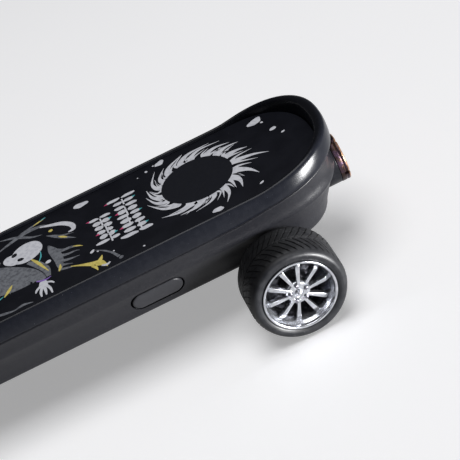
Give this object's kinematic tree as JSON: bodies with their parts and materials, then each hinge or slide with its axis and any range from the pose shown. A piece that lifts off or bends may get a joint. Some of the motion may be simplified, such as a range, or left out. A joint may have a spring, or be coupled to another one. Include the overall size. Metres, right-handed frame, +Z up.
{
  "type": "miniature electric skateboard",
  "caption": "Pocket battery shaped like an electric skateboard: black tray deck with printed panel, spoked wheels with treaded tyres, side button, threaded end connector.",
  "frame": {"origin": "on the ground, under the middle of the whole device", "axes": "+X along the deck towards the threaded connector, +Y across the deck away from the push button, +Z up"},
  "size_m": [0.1226, 0.054, 0.0304],
  "materials": {
    "satin_shell": "satin moulded black plastic",
    "grained_shell": "finely grained black plastic",
    "printed_panel": "matte printed film",
    "adhesive": "clear double-sided tape",
    "cell_wrap": "foil pouch",
    "board": "solder-masked laminate",
    "foam": "foam pad",
    "chip": "moulded package",
    "stamped_steel": "stamped and plated",
    "button": "satin moulded black plastic",
    "black_plastic": "moulded black plastic",
    "dark_bronze": "dark plated bronze",
    "insulator": "moulded insulator",
    "gold_plate": "gold plated",
    "spring_steel": "bright steel",
    "red_lead": "insulated lead",
    "black_lead": "insulated lead",
    "truck": "glass-filled nylon",
    "tyre": "moulded rubber",
    "bright_rim": "bright cast rim"
  },
  "bodies": {
    "chassis": {"deck_shell": "satin_shell", "art_panel": "printed_panel", "panel_adhesive": "adhesive", "lower_shell": "grained_shell", "battery_cell": "cell_wrap", "cell_guard_board": "board", "cell_foam_top": "foam", "cell_foam_bottom": "foam", "control_board": "board", "control_chips": "chip", "switch_body": "stamped_steel", "charge_board": "board", "charge_chips": "chip", "usb_socket": "stamped_steel", "usb_tongue": "black_plastic", "connector_sleeve": "black_plastic", "connector_barrel": "dark_bronze", "connector_insulator": "insulator", "pin_terminal": "gold_plate", "battery_leads": "red_lead", "charge_leads": "red_lead", "connector_leads": "black_lead", "truck_nose": "truck", "truck_tail": "truck", "axle_nose": "spring_steel", "axle_tail": "spring_steel", "truck_screws": "spring_steel", "casing_screws": "spring_steel"},
    "wheel_nose_left": {"tyre_nose_left": "tyre", "rim_nose_left": "bright_rim", "lug_nuts_nose_left": "spring_steel", "hub_cap_nose_left": "bright_rim", "axle_clip_nose_left": "spring_steel"},
    "wheel_nose_right": {"tyre_nose_right": "tyre", "rim_nose_right": "bright_rim", "lug_nuts_nose_right": "spring_steel", "hub_cap_nose_right": "bright_rim", "axle_clip_nose_right": "spring_steel"},
    "wheel_tail_left": {"tyre_tail_left": "tyre", "rim_tail_left": "bright_rim", "lug_nuts_tail_left": "spring_steel", "hub_cap_tail_left": "bright_rim", "axle_clip_tail_left": "spring_steel"},
    "wheel_tail_right": {"tyre_tail_right": "tyre", "rim_tail_right": "bright_rim", "lug_nuts_tail_right": "spring_steel", "hub_cap_tail_right": "bright_rim", "axle_clip_tail_right": "spring_steel"},
    "button": {"power_button": "button", "switch_plunger": "black_plastic"},
    "contact_pin": {"center_pin": "gold_plate", "pin_spring": "spring_steel"}
  },
  "joints": [
    {"name": "spin_nose_left", "type": "hinge", "parent": "chassis", "child": "wheel_nose_left", "pos_m": [-0.041, -0.0225, 0.01], "axis": [0, 1, 0], "continuous": true},
    {"name": "spin_nose_right", "type": "hinge", "parent": "chassis", "child": "wheel_nose_right", "pos_m": [-0.041, 0.0225, 0.01], "axis": [0, 1, 0], "continuous": true},
    {"name": "spin_tail_left", "type": "hinge", "parent": "chassis", "child": "wheel_tail_left", "pos_m": [0.0404, -0.0225, 0.01], "axis": [0, 1, 0], "continuous": true},
    {"name": "spin_tail_right", "type": "hinge", "parent": "chassis", "child": "wheel_tail_right", "pos_m": [0.0404, 0.0225, 0.01], "axis": [0, 1, 0], "continuous": true},
    {"name": "button_press", "type": "slide", "parent": "chassis", "child": "button", "axis": [0, 1, 0], "range_m": [0, 0.00045], "stiffness_N_per_m": 2500, "springref_m": -0.0004},
    {"name": "pin_press", "type": "slide", "parent": "chassis", "child": "contact_pin", "axis": [-1, 0, 0], "range_m": [0, 0.0005], "stiffness_N_per_m": 1200, "springref_m": -0.0004, "deforming": ["pin_spring"]}
  ]
}
